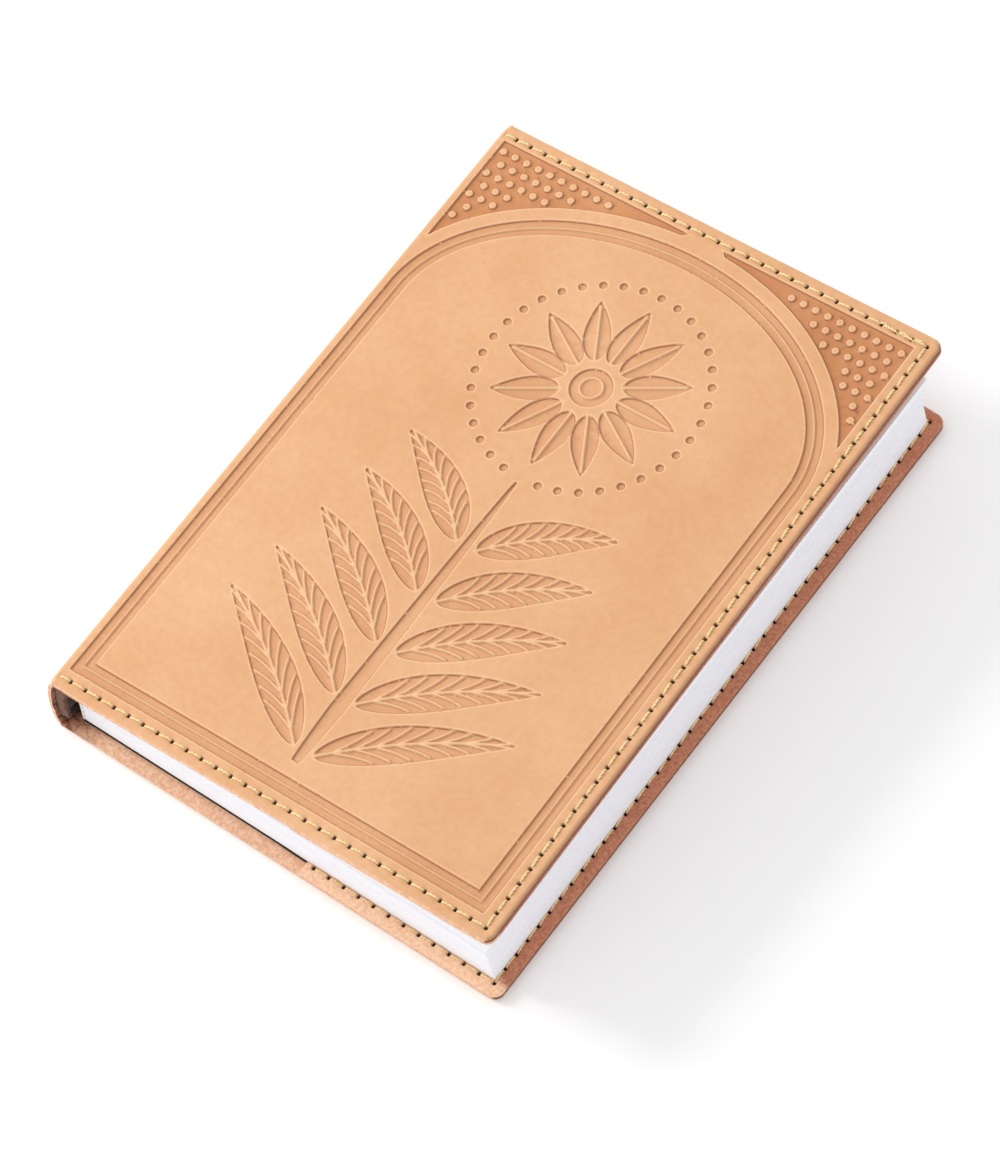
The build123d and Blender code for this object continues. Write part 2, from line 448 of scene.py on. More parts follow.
def tapered(points, half_width):
    """Draw the outline of a stroke that thins to a point at its far end."""
    line = smooth_curve(points, False, 0.8)
    ahead = np.gradient(line, axis=0)
    ahead /= np.linalg.norm(ahead, axis=1)[:, None]
    side = np.stack([-ahead[:, 1], ahead[:, 0]], 1)
    t = np.linspace(0, 1, len(line))[:, None]
    width = half_width * np.sqrt(np.clip(4 * t + 0.25, 0, 1)) * np.sqrt(1.02 - t)
    return np.vstack([line + side * width, (line - side * width)[::-1]])


def mirrored(outline, side):
    """Mirror an outline about the centre line when side is -1, keeping its direction."""
    flipped = np.asarray(outline, float) * (side, 1)
    return flipped if side > 0 else flipped[::-1]


def arch(grow):
    """Draw the panel's arched window, grown outwards by a distance."""
    half, rise = panel_half + grow, arch_rise + grow
    t = np.linspace(0, math.pi, 150)
    top = np.stack([half * np.cos(t), arch_spring + rise * np.sin(t)], 1)
    left = np.stack([np.full(100, -half), np.linspace(arch_spring, -grow, 101)[1:]], 1)
    foot = np.stack([np.linspace(-half, half, 140)[1:], np.full(139, -grow)], 1)
    right = np.stack([np.full(99, half), np.linspace(-grow, arch_spring, 101)[1:-1]], 1)
    return np.vstack([top, left, foot, right])


# %% Frame and arch
sink(arch(0), 0.34)
lift(arch(-band_width))
thin_line = arch(-band_width * 0.53)
ridge(np.vstack([thin_line, thin_line[:1]]), 0.28)


# %% [markdown]
# ### The two corners above the arch
# Each corner is pressed deep and filled with raised round studs in an even, staggered grid.
# Studs that would come too near the arch's rim are left out.

# %% Corner studs
rim_width = 4.2
stud_gap = 4.2


def corner_outline():
    """Draw the pressed area between the arch's rim and the panel's corner."""
    half, rise = panel_half + rim_width, arch_rise + rim_width
    top = panel_height
    first = math.acos(panel_half / half)
    last = math.acos(7.5 / half)
    t = np.linspace(first, last, 90)
    rim = np.stack([half * np.cos(t), np.minimum(arch_spring + rise * np.sin(t), top - 1.3)], 1)
    along = np.stack([np.linspace(6.2, panel_half, 80), np.full(80, top)], 1)
    down = np.stack([np.full(45, panel_half), np.linspace(top, rim[0, 1], 47)[1:-1]], 1)
    return np.vstack([rim, along, down])


def above_rim(x, y, grow):
    """Tell how far outside the rim a point is, roughly, in millimetres."""
    half, rise = panel_half + rim_width, arch_rise + rim_width
    return (math.hypot(x / half, (y - arch_spring) / rise) - 1) * 62 - grow


for side in (1, -1):
    sink(mirrored(corner_outline(), side), 1.0)
    for row in range(13):
        for k in range(16):
            x = panel_half - stud_gap * (k + 0.5 + 0.5 * (row % 2))
            y = panel_height - stud_gap * (row + 0.8)
            if x < 8 or above_rim(x, y, 2.0) < 0:
                continue
            lift(mirrored(ellipse(x, y, 1.15, 1.15), side))
print("corner studs:", len(panel_press), "steps so far")

# %% [markdown]
# ### Leaves and flowers
# A leaf is a bent centre line with a width that swells and tapers, a raised midrib and raised
# side veins. Pairs of one plain leaf climb a straight stem, and the same leaf without veins,
# turned round a centre, makes the rosette. Every place follows from a count and a spacing.


# %% Leaf function
def leaf(foot, tip, half_width, bend, side, ribs=7, tint=0.34):
    """Draw a leaf from foot to tip. A positive bend curves it to the left of its direction."""
    foot, tip = np.asarray(foot, float), np.asarray(tip, float)
    run = tip - foot
    normal = np.array([-run[1], run[0]]) / np.linalg.norm(run)
    t = np.linspace(0, 1, max(20, int(np.linalg.norm(run) / 0.7)))[:, None]
    middle = foot + run * t + normal * bend * 4 * t * (1 - t)
    ahead = np.gradient(middle, axis=0)
    ahead /= np.linalg.norm(ahead, axis=1)[:, None]
    across = np.stack([-ahead[:, 1], ahead[:, 0]], 1)
    swell = half_width * np.sin(math.pi * t**0.72) ** 0.85 + 0.15
    outline = np.vstack([middle + across * swell, (middle - across * swell)[::-1]])
    sink(mirrored(outline, side), tint)
    rib = slice(0, int(len(t) * 0.93))
    ridge(mirrored(middle[rib], side), 0.46)
    for k in range(ribs):
        s = 0.1 + 0.74 * k / max(1, ribs - 1)
        i = int(s * (len(t) - 1))
        j = min(len(t) - 1, int((s + 0.2 * (1 - 0.35 * s)) * (len(t) - 1)))
        for hand in (1, -1):
            end = middle[j] + across[j] * hand * swell[j] * 0.86
            bow = (middle[i] + end) / 2 + ahead[i] * 0.9
            ridge(mirrored(smooth_curve([middle[i], bow, end], False), side), 0.36)


# %% Stem and paired leaves
stem_foot = 10.0
leaf_pairs = 5
leaf_gap = 19.0
sink(tapered([(0, stem_foot), (0, 60), (0, 114)], 2.6), 0.2)
for pair in range(leaf_pairs):
    low = stem_foot + 4 + leaf_gap * pair
    reach = 56.0 - 4.0 * pair
    for side in (1, -1):
        tip = (3.4 + reach * math.cos(0.6), low + reach * math.sin(0.6))
        leaf((3.4, low), tip, 5.8, 2.4, side, ribs=8)
print("with the leaves:", len(panel_press), "steps")

# %% Rosette in rings
rosette = np.array([0.0, 150.0])
for k in range(12):
    angle = math.pi / 2 + k * math.pi / 6
    ray = np.array([math.cos(angle), math.sin(angle)])
    leaf(rosette + ray * 9, rosette + ray * 29, 3.9, 0.0, 1, ribs=0, tint=0.3)
sink(ellipse(*rosette, 6.4, 6.4), 0.3)
ring = ellipse(*rosette, 3.4, 3.4)
ridge(np.vstack([ring, ring[:1]]), 0.4)
for k in range(1, 36):
    angle = -math.pi / 2 + k * math.pi / 18
    place = rosette + 34.5 * np.array([math.cos(angle), math.sin(angle)])
    sink(ellipse(*place, 1.3, 1.3), 0.3)
print("whole panel:", len(panel_press), "steps")

# %% [markdown]
# ## From outlines to a surface
# The board's face is a sheet of triangles. Its points are placed where the relief needs them:
# rows along both sides of every outline, a ring round every stitch hole, and a loose grid in
# between. A Delaunay triangulation joins them. The height at a point follows from its signed
# distance to the outlines, so walls are crisp and shoulders are soft at any point density.

# %% Distances to outlines
wall_width = 0.42
chunk = 3000


def line_distance(points, line, closed):
    """Return each point's distance to a line of straight runs."""
    a = line if closed else line[:-1]
    b = np.roll(line, -1, 0) if closed else line[1:]
    run = b - a
    length = np.maximum((run**2).sum(1), 1e-9)
    best = np.empty(len(points))
    for start in range(0, len(points), chunk):
        p = points[start:start + chunk, None]
        t = np.clip(((p - a) * run).sum(2) / length, 0, 1)
        best[start:start + chunk] = np.sqrt((((p - a) - t[..., None] * run) ** 2).sum(2).min(1))
    return best


def inside(points, outline):
    """Tell which points a closed outline holds, by counting crossings."""
    a, b = outline, np.roll(outline, -1, 0)
    result = np.zeros(len(points), bool)
    for start in range(0, len(points), chunk):
        x, y = points[start:start + chunk, 0:1], points[start:start + chunk, 1:2]
        spans = (a[:, 1] > y) != (b[:, 1] > y)
        cross = a[:, 0] + (y - a[:, 1]) * (b[:, 0] - a[:, 0]) / (b[:, 1] - a[:, 1] + 1e-12)
        result[start:start + chunk] = (spans & (x < cross)).sum(1) % 2 == 1
    return result


def press_fields(points, steps):
    """Return the depth, tint, dark wall-foot line (partly burnish, partly painted shade) and painted
    shoulder highlight of each point after all pressing steps.
    """
    sunk = np.full(len(points), -9.0)
    tint = np.zeros(len(points))
    fine = np.zeros(len(points))
    for kind, outline, amount in steps:
        margin = 1.2
        low, high = outline.min(0) - margin, outline.max(0) + margin
        near = np.flatnonzero(((points > low) & (points < high)).all(1))
        if not len(near):
            continue
        gap = line_distance(points[near], outline, kind != "ridge")
        if kind == "ridge":
            sunk[near] = np.minimum(sunk[near], gap - amount + 0.1)
            fine[near] = np.maximum(fine[near], 0.75 * (gap < 1.0))
            continue
        gap = np.where(inside(points[near], outline), gap, -gap)
        if kind == "sink":
            sunk[near] = np.maximum(sunk[near], gap)
            tint[near] = np.where(gap > 0, amount, tint[near])
        else:
            sunk[near] = np.minimum(sunk[near], -gap)
            tint[near] = np.where(gap > 0.1, 0, tint[near])
    t = np.clip((sunk + 0.08) / wall_width, 0, 1)
    fall = t * t * (3 - 2 * t)
    # dark line at the foot of each wall, partly burnish and partly painted shade
    wall_burnish_and_shade = np.exp(-(((sunk - 0.22) / 0.15) ** 2))
    # painted highlight on the raised shoulder
    shoulder_highlight = np.exp(-(((sunk + 0.2) / 0.16) ** 2))
    return -press_depth * fall, tint * fall, wall_burnish_and_shade * (1 - fine), shoulder_highlight


# %% Placing the points
def offset_rows(line, closed, offsets, step):
    """Sample a line about every step and put points beside it at each offset."""
    path = np.vstack([line, line[:1]]) if closed else line
    reach = np.r_[0, np.cumsum(np.linalg.norm(np.diff(path, axis=0), axis=1))]
    count = max(4, int(reach[-1] / step))
    s = np.linspace(0, reach[-1], count + (0 if closed else 1), endpoint=not closed)
    middle = np.stack([np.interp(s, reach, path[:, k]) for k in (0, 1)], 1)
    nudge = 0.25
    before = np.stack([np.interp(np.clip(s - nudge, 0, reach[-1]), reach, path[:, k]) for k in (0, 1)], 1)
    after = np.stack([np.interp(np.clip(s + nudge, 0, reach[-1]), reach, path[:, k]) for k in (0, 1)], 1)
    ahead = after - before
    ahead /= np.maximum(np.linalg.norm(ahead, axis=1), 1e-9)[:, None]
    side = np.stack([-ahead[:, 1], ahead[:, 0]], 1)
    return np.vstack([middle + side * d for d in offsets])


def thin_out(points, cell):
    """Drop points that share a small cell with an earlier one."""
    keys = np.round(points / cell).astype(np.int64)
    _, first = np.unique(keys[:, 0] * 1000003 + keys[:, 1], return_index=True)
    return points[np.sort(first)]


def board_outline(start, inset=0.0, step=1.0):
    """Walk round a board, inset a little, with rounded corners at the fore edge."""
    left, right, top = start + inset, board_width - inset, half_height - inset
    r = corner_radius - inset
    turn = np.linspace(0, math.pi / 2, 7)
    rows, columns = int(2 * (top - r) / step), int((right - r - left) / step)
    foot = np.stack([np.linspace(left, right - r, columns), np.full(columns, -top)], 1)
    low = np.stack([right - r + r * np.sin(turn), -top + r - r * np.cos(turn)], 1)[1:]
    fore = np.stack([np.full(rows, right), np.linspace(-top + r, top - r, rows)], 1)[1:]
    high = np.stack([right - r + r * np.cos(turn), top - r + r * np.sin(turn)], 1)[1:]
    head = np.stack([np.linspace(right - r, left, columns), np.full(columns, top)], 1)[1:]
    back = np.stack([np.full(rows, left), np.linspace(top, -top, rows)], 1)[1:-1]
    return np.vstack([foot, low, fore, high, head, back])


def stitch_holes(start):
    """Return the hole places along tail, fore edge and head that lie past start."""
    run_u, run_v = board_width - stitch_inset, half_height - stitch_inset
    first = 4.2
    along = int(round((run_u - first) / stitch_pitch))
    up = int(round(2 * run_v / stitch_pitch))
    tail = np.stack([np.linspace(first, run_u, along + 1), np.full(along + 1, -run_v)], 1)
    fore = np.stack([np.full(up + 1, run_u), np.linspace(-run_v, run_v, up + 1)], 1)[1:]
    holes = np.vstack([tail, fore, tail[::-1][1:] * (1, -1)])
    return holes[holes[:, 0] > start + 1]


# %% [markdown]
# ## A pressed plate of leather
# One function makes both boards and both pockets: a face with relief and stitch holes, a cut
# edge that bulges a little, and a plain underside.

# %% Plate function
def leather_plate(name, place, start, face, back, steps, material, grid_step=2.3, fore_edge_shade=0.92):
    """Build a closed plate from `start` to the fore edge, between two heights on a board."""
    toward = 1.0 if face > back else -1.0
    rim = board_outline(start)
    holes = stitch_holes(start)
    rows = [board_outline(start, d) for d in (0.25, 0.6, 1.2)]
    for angle in np.arange(8) * math.pi / 4:
        heading = np.array([math.cos(angle), math.sin(angle)])
        rows += [holes + heading * r for r in (0.36, 0.64, 0.92)]
    rows += [holes]
    for kind, outline, _ in steps:
        offsets = (-0.66, -0.28, -0.02, 0.2, 0.46)
        if kind == "ridge":
            offsets = (0, -0.26, 0.26, -0.52, 0.52, -0.8, 0.8)
        rows.append(offset_rows(outline, kind != "ridge", offsets, 0.8))
    run_v = half_height - stitch_inset
    loose_u = np.arange(start + 2, board_width - 1.5, grid_step)
    loose_v = np.arange(-half_height + 2, half_height - 1.5, grid_step)
    loose = np.stack(np.meshgrid(loose_u, loose_v), -1).reshape(-1, 2)
    rows.append(loose + np.sin(loose[:, ::-1] * 2.1) * 0.5)
    body = thin_out(np.vstack(rows), 0.17)
    clear = inside(body, rim) & (line_distance(body, rim, True) > 0.16)
    body = body[clear]
    count = len(rim)
    loop = [(i, (i + 1) % count) for i in range(count)]
    flat = [tuple(p) for p in np.vstack([rim, body]).tolist()]
    flat, _, faces, *_ = delaunay_2d_cdt(flat, loop, [], 1, 1e-7, False)
    flat = np.array([tuple(p) for p in flat])

    depth, tint, wall_burnish_and_shade, shoulder_highlight = press_fields(flat, steps)
    edge = line_distance(flat, rim, True)
    open_side = flat[:, 0] > start + 1.0
    depth = depth - np.where(open_side, 0.42 * np.clip(1 - edge / 1.0, 0, 1) ** 2.2, 0)
    near_line = np.minimum(np.abs(np.abs(flat[:, 1]) - run_v),
                           np.abs(flat[:, 0] - board_width + stitch_inset))
    depth = depth - 0.12 * np.exp(-((near_line / 1.1) ** 2)) * (edge < 5.5)
    gaps = np.full(len(flat), 9.0)
    close = np.flatnonzero(edge < 5.5)
    for first in range(0, len(close), chunk):
        part = close[first:first + chunk]
        gaps[part] = np.sqrt(((flat[part, None] - holes) ** 2).sum(2).min(1))
    pit = np.clip((0.76 - gaps) / 0.34, 0, 1)
    depth = depth - 0.9 * pit

    ring_share = np.array([0.25, 0.5, 0.75, 1.0])
    ring_bulge = np.array([0.1, 0.14, 0.1, 0.0])
    around = np.roll(rim, -1, 0) - np.roll(rim, 1, 0)
    around /= np.linalg.norm(around, axis=1)[:, None]
    out_way = np.stack([around[:, 1], -around[:, 0]], 1) * (rim[:, :1] > start + 1e-6)
    top_h = face + toward * depth
    rims = []
    for share, bulge in zip(ring_share, ring_bulge):
        level = top_h[:count] + (back - top_h[:count]) * share
        rims.append(place(*(rim + out_way * bulge).T, level))
    under_grid = np.stack(np.meshgrid(np.arange(start + 6, board_width - 5, 8.0),
                                      np.arange(-half_height + 6, half_height - 5, 8.0)), -1).reshape(-1, 2)
    under_flat = [tuple(p) for p in np.vstack([rim, under_grid]).tolist()]
    under_flat, _, under_faces, *_ = delaunay_2d_cdt(under_flat, loop, [], 1, 1e-7, False)
    under = np.array([tuple(p) for p in under_flat])[count:]
    points = np.vstack([place(*flat.T, top_h)] + rims + [place(*under.T, np.full(len(under), back))])

    all_faces = [tuple(f) for f in faces]
    bases = [0] + [len(flat) + k * count for k in range(4)]
    for low_base, high_base in zip(bases[1:], bases[:-1]):
        for i in range(count):
            j = (i + 1) % count
            all_faces.append((low_base + i, low_base + j, high_base + j, high_base + i))
    last, under_base = bases[-1], len(flat) + 4 * count
    for f in under_faces:
        all_faces.append(tuple(last + i if i < count else under_base + i - count for i in f)[::-1])
    piece = make_object(name, points, all_faces, material)
    outward_only(piece)

    def spread(top_values, ring_values, under_value):
        return np.concatenate([top_values] + [ring_values] * 4 + [np.full(len(under), under_value)])

    fore_side = (rim[:, 0] > board_width - 2.2).astype(float)
    add_attribute(piece, "pressed", spread(tint, np.zeros(count), 0.0))
    add_attribute(piece, "wall_burnish_and_shade", spread(wall_burnish_and_shade, np.zeros(count), 0.0))
    add_attribute(piece, "shoulder_highlight", spread(shoulder_highlight, np.zeros(count), 0.0))
    # painted shade in the stitch holes
    add_attribute(piece, "hole_shade", spread(np.clip(pit * 1.6, 0, 1), np.zeros(count), 0.0))
    add_attribute(piece, "raw", spread(np.clip(1 - edge / 0.3, 0, 1) * open_side, np.ones(count), 1.0))
    # painted shade on the fore side of the cut edge and on the rounded top beside it
    top_fore_edge_shade = 0.6 * np.clip(1 - edge / 0.9, 0, 1) * (flat[:, 0] > board_width - 1.5)
    add_attribute(piece, "fore_edge_shade", spread(top_fore_edge_shade, fore_side * fore_edge_shade, 0.0))
    # painted shade that deepens towards the fold, inside the spine's hollow
    fold_shade_rim = np.clip(1 - rim[:, 0] / fold_shade_reach, 0, 1)
    fold_shade_under = np.clip(1 - under[:, 0] / fold_shade_reach, 0, 1)
    add_attribute(piece, "fold_shade_and_creases", np.concatenate([flat[:, 0] * 0, np.tile(fold_shade_rim, 4), fold_shade_under]))
    print(f"{name}: {len(flat)} face points, {sum(len(f) - 2 for f in all_faces)} triangles")
    return piece


# %% Front and back boards
panel_steps = [(kind, outline + (panel_centre, panel_tail), amount)
               for kind, outline, amount in panel_press]
front_leather = leather_plate("front_leather", front_point, 0, 0, -leather_thick, panel_steps,
                              outer_leather)
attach(front_leather, "front_cover")
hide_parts("front_cover_leather")
back_leather = leather_plate("back_leather", back_point, 0, 0, -leather_thick, [], outer_leather, 6.0)
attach(back_leather, "back_cover")
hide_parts("back_cover_leather")

# %% [markdown]
# ## The inside of the boards
# Each board has a pocket sewn on with its flesh side out: soft and without the tan skin. Its
# reddish brown is partly its own colour and partly painted shade, and along the tail, where the
# key light falls, it is painted pale as lit.

# %% Flesh-side material
def flesh_material(name, deep, pale, lit_pale, creased=False):
    """Make a napped, fibrous leather surface, maybe creased. A marked band is lightened as painted light.
    """
    material, tree, shader = new_material(name)
    skin = use_grain(tree, 1500.0, 1.0, 60.0)
    place = add_node(tree, "ShaderNodeTexCoord").outputs["Object"]
    nap = add_node(tree, "ShaderNodeTexNoise", {"Vector": place, "Scale": 1100.0, "Detail": 8.0,
                                                "Roughness": 0.75}).outputs[0]
    lit_edge = add_node(tree, "ShaderNodeAttribute", attribute_name="lit_edge").outputs["Fac"]
    hole_shade = add_node(tree, "ShaderNodeAttribute", attribute_name="hole_shade").outputs["Fac"]
    colour = mix_colour(tree, ramp(tree, nap, 0.36, 0.66), deep, pale)
    blotch = ramp(tree, skin.outputs["Mottle"], 0.35, 0.7)
    colour = mix_colour(tree, math_node(tree, "MULTIPLY", blotch, 0.3), colour, deep)
    # painted light: the marked band takes the lit colour of the flesh side
    light = mix_colour(tree, ramp(tree, nap, 0.38, 0.6), srgb(232, 180, 144), lit_pale)
    colour = mix_colour(tree, lit_edge, colour, light)
    # painted shade in the stitch holes
    colour = mix_colour(tree, hole_shade, colour, srgb(48, 24, 11))
    if creased:
        lines = math_node(tree, "MULTIPLY", crease_lines(tree, place), 0.85)
        colour = mix_colour(tree, lines, colour, srgb(36, 15, 8))
    tree.links.new(colour, shader.inputs["Base Color"])
    shader.inputs["Roughness"].default_value = 0.92
    shader.inputs["Sheen Weight"].default_value = 0.12
    shader.inputs["Specular IOR Level"].default_value = 0.2
    height = math_node(tree, "ADD", math_node(tree, "MULTIPLY", nap, 1.4), skin.outputs["Height"])
    bump = add_node(tree, "ShaderNodeBump", {"Height": height, "Strength": 0.5, "Distance": 0.0003})
    tree.links.new(bump.outputs[0], shader.inputs["Normal"])
    return material


# the pocket's reddish brown is partly painted shade, as most of it lies in shadow
flesh_leather = flesh_material("flesh_leather", srgb(166, 100, 74), srgb(214, 148, 116),
                               srgb(252, 212, 178))
# the lining's near-black is painted shade of the spine's hollow
shaded_lining_leather = flesh_material("shaded_lining_leather", srgb(24, 11, 5), srgb(60, 30, 17), srgb(150, 95, 66))
# the folds' deeper brown is painted shade inside the spine, with real crease marks
shaded_fold_leather = flesh_material("shaded_fold_leather", srgb(104, 52, 34), srgb(152, 86, 60), srgb(236, 190, 158),
                              creased=True)


def mark_lit_edge(piece, place_v):
    """Mark how near each point is to the tail edge, where painted light lightens the pocket."""
    co = np.array([v.co for v in piece.data.vertices])
    away = half_height + co[:, 1] / MM
    add_attribute(piece, "lit_edge", np.clip((place_v - away) / 1.6, 0, 1))


# %% Pockets and cards
for side, place, body in (("front", front_point, "front_cover"), ("back", back_point, "back_cover")):
    pocket = leather_plate(f"{side}_pocket_leather", place, pocket_mouth, -cover_stack, -leather_thick,
                           [], flesh_leather, 5.0)
    mark_lit_edge(pocket, 5.2)
    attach(pocket, body)
    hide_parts(f"{side}_pocket")

# %% [markdown]
# ## Paper
# The refill is a block of sewn signatures with a thin card on each side. Its upper leaves
# spring up towards the open board, fanning out from the spine, so they are drawn as wedges
# that thicken towards the fore edge, in five groups that each turn on their own hinge.

# %% Paper material
def paper_material(name, colour, edge=None):
    """Make soft white paper with a faint tone change from leaf to leaf, and maybe a dark edge painted as
    shade.
    """
    material, tree, shader = new_material(name)
    place = add_node(tree, "ShaderNodeTexCoord").outputs["Object"]
    fibres = add_node(tree, "ShaderNodeTexNoise", {"Vector": place, "Scale": 700.0,
                                                   "Detail": 5.0}).outputs[0]
    leaf = add_node(tree, "ShaderNodeAttribute", attribute_name="leaf").outputs["Fac"]
    tone = mix_colour(tree, math_node(tree, "MULTIPLY", leaf, 0.2), colour, srgb(222, 224, 232))
    tone = mix_colour(tree, math_node(tree, "MULTIPLY", ramp(tree, fibres, 0.4, 0.7), 0.08), tone,
                      srgb(205, 206, 212))
    if edge:
        # painted shade: upright faces and the marked rim turn dark, drawing the shadow line under the page
        # block
        facing = add_node(tree, "ShaderNodeNewGeometry").outputs["True Normal"]
        level = add_node(tree, "ShaderNodeSeparateXYZ", {"Vector": facing}).outputs["Z"]
        upright = math_node(tree, "LESS_THAN", math_node(tree, "ABSOLUTE", level), 0.4)
        rim = add_node(tree, "ShaderNodeAttribute", attribute_name="rim").outputs["Fac"]
        tone = mix_colour(tree, math_node(tree, "MAXIMUM", upright, rim), tone, edge)
    tree.links.new(tone, shader.inputs["Base Color"])
    shader.inputs["Roughness"].default_value = 0.85
    bump = add_node(tree, "ShaderNodeBump", {"Height": fibres, "Strength": 0.15, "Distance": 0.00008})
    tree.links.new(bump.outputs[0], shader.inputs["Normal"])
    return material


page_paper = paper_material("page_paper", srgb(248, 248, 252))
card_paper = paper_material("refill_card", srgb(236, 232, 222), srgb(26, 21, 20))
mull_cloth = paper_material("mull_cloth", srgb(238, 236, 228))

# %% Leaf helper
hinge = frame["record"]["behaviour"]["joints"][2]["pos_m"]
block_x, hinge_z = hinge[0] / MM, hinge[2] / MM
page_low, page_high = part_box("signature_01")
page_width = (page_high.x - page_low.x) / MM
page_half = (page_high.y - page_low.y) / MM / 2
signature_thick = (page_high.z - page_low.z) / MM
block_slant = 1.9          # how far the top of the fixed block leans back at the fore edge
rng = np.random.default_rng(7)


def slab(corners_low, corners_high):
    """Return the points and faces of a closed slab from two equal grids of points."""
    rows, columns = corners_low.shape[:2]
    points = np.vstack([corners_low.reshape(-1, 3), corners_high.reshape(-1, 3)])
    under = [f[::-1] for f in grid_faces(rows, columns)]
    over = grid_faces(rows, columns, rows * columns)
    rim = [i * columns for i in range(rows)] + [(rows - 1) * columns + j for j in range(1, columns)]
    rim += [i * columns + columns - 1 for i in range(rows - 2, -1, -1)] + list(range(columns - 2, 0, -1))
    n = rows * columns
    sides = [(a, b, n + b, n + a) for a, b in zip(rim, rim[1:] + rim[:1])]
    return points, under + over + sides


def leaf_stack(name, leaves, body, node, material):
    """Join leaves, each a slab with its own tone, into one object that rides on a body."""
    points, faces, tones = [], [], []
    for low_grid, high_grid in leaves:
        p, f = slab(low_grid, high_grid)
        base = sum(len(q) for q in points)
        points.append(p)
        faces += [tuple(i + base for i in face) for face in f]
        tones += [rng.uniform(0, 1) ** 2] * len(p)
    piece = make_object(name, np.vstack(points), faces, material, smooth=False)
    outward_only(piece)
    add_attribute(piece, "leaf", tones)
    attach(piece, body)
    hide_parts(node)
    return piece


def leaf_grid(x_start, x_end, trim, height, rows=2, columns=2):
    """Place a grid of points over a leaf, with its height given by a function of u and v."""
    share_u, share_v = np.meshgrid(np.linspace(0, 1, rows), np.linspace(-1, 1, columns), indexing="ij")
    x = x_start + (x_end - x_start) * share_u
    return np.stack([x, share_v * (page_half - trim), height(share_u, share_v)], -1) * MM


# %% Fixed signatures
leaves_each = 8
for index in range(6):
    stack = []
    for k in range(leaves_each):
        share = (k + 0.5) / leaves_each
        z = cover_stack + signature_thick * (index + k / leaves_each)
        top = z + signature_thick / leaves_each - 0.006
        round_back = 1.0 * (1 - math.sqrt(max(0.0, 1 - (2 * share - 1) ** 2)))
        fore = block_x + page_width - block_slant * (z - cover_stack) / 15 - rng.uniform(0, 0.06)
        trim = rng.uniform(0, 0.1)
        ends = (block_x + round_back, fore, trim)
        stack.append((leaf_grid(*ends, lambda u, v: z + 0 * u), leaf_grid(*ends, lambda u, v: top + 0 * u)))
    leaf_stack(f"signature_leaves_{index + 1:02d}", stack, "back_cover", f"signature_{index + 1:02d}",
               page_paper)

# %% Loose leaves that spring open
group_count, group_leaves = 5, 5
hinge_setback = 2.0
packed_height = 4.9
spring_height = 4.7
leaf_total = group_count * group_leaves


def leaf_height(level):
    """Return the height function of a boundary between leaves, from 0 at the block to 1 on top."""
    def height(u, v):
        spring = spring_height * u**1.25 * (1 + 0.22 * v)
        sag = 0.25 * np.sin(math.pi * u) * level
        return hinge_z + 0.1 + level * (packed_height + spring) - sag
    return height


for group in range(group_count):
    stack = []
    for k in range(group_leaves):
        level = (group * group_leaves + k) / leaf_total
        fore = block_x + page_width - block_slant + 2.2 * level - rng.uniform(0, 0.07)
        ends = (block_x + hinge_setback, fore, rng.uniform(0, 0.12))
        top = leaf_height(level + 0.96 / leaf_total)
        stack.append((leaf_grid(*ends, leaf_height(level), 15, 9), leaf_grid(*ends, top, 15, 9)))
    leaf_stack(f"loose_leaves_{group + 1:02d}", stack, f"leaves_{group + 1}", f"page_group_{group + 1:02d}",
               page_paper)

# %% Cards and the glued cloth
card_low, card_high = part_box("refill_back_card")
card_start, card_end = card_low.x / MM - fold_x, card_high.x / MM - fold_x
card_half = (card_high.y - card_low.y) / MM / 2
card_u, card_v = np.meshgrid(np.linspace(card_start, card_end, 40), np.linspace(-card_half, card_half, 12),
                             indexing="ij")
card_points, card_faces = slab(front_point(card_u, card_v, -2.55), front_point(card_u, card_v, -1.85))
front_card = make_object("front_card", card_points, card_faces, card_paper, smooth=False)
outward_only(front_card)
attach(front_card, "front_cover")
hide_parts("refill_front_card")
rest_gap = 0.04
back_rest = pocket_thick - (card_high.z - card_low.z) / MM - rest_gap      # its lift outside the pocket
edge_steps = page_half + np.array([-20.0, -0.3, -0.1, 0.22])    # it stands a little proud of the pages
card_v = np.tile(np.r_[-edge_steps[::-1], edge_steps], (len(card_u), 1))
card_u = np.repeat(card_u[:, :1], card_v.shape[1], 1)
back_slope = np.clip((pocket_mouth - 2 - card_u) / 10, 0, 1)
back_lift = card_low.z / MM + back_rest * back_slope * back_slope * (3 - 2 * back_slope)
card_thick = (card_high.z - card_low.z) / MM
card_x = fold_x + card_u
card_points, card_faces = slab(np.stack([card_x, card_v, back_lift], -1) * MM,
                               np.stack([card_x, card_v, back_lift + card_thick], -1) * MM)
back_card = make_object("back_card", card_points, card_faces, card_paper, smooth=False)
outward_only(back_card)
# the rim that stands proud of the pages is painted dark as the shadow line under the block
add_attribute(back_card, "rim", np.tile((np.abs(card_v) > page_half - 0.2).ravel().astype(float), 2))
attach(back_card, "back_cover")
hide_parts("refill_back_card")
frame["nodes"]["refill_mull"].data.materials.clear()
frame["nodes"]["refill_mull"].data.materials.append(mull_cloth)

# %% [markdown]
# ## The spine
# The same leather runs round the spine in a D. Its profile is one smooth curve from the back
# board to the front board. The curve is cut in three: the middle rides on the spine, and each
# end is a fixed piece between the spine and a board.

# %% Spine profile
bulge = 4.0
profile_ends = np.array([
    (fold_x, 0.0),
    (fold_x - bulge, 0.0),
    (front_x - bulge * math.cos(front_tilt), front_z - bulge * math.sin(front_tilt)),
    (front_x, front_z),
])


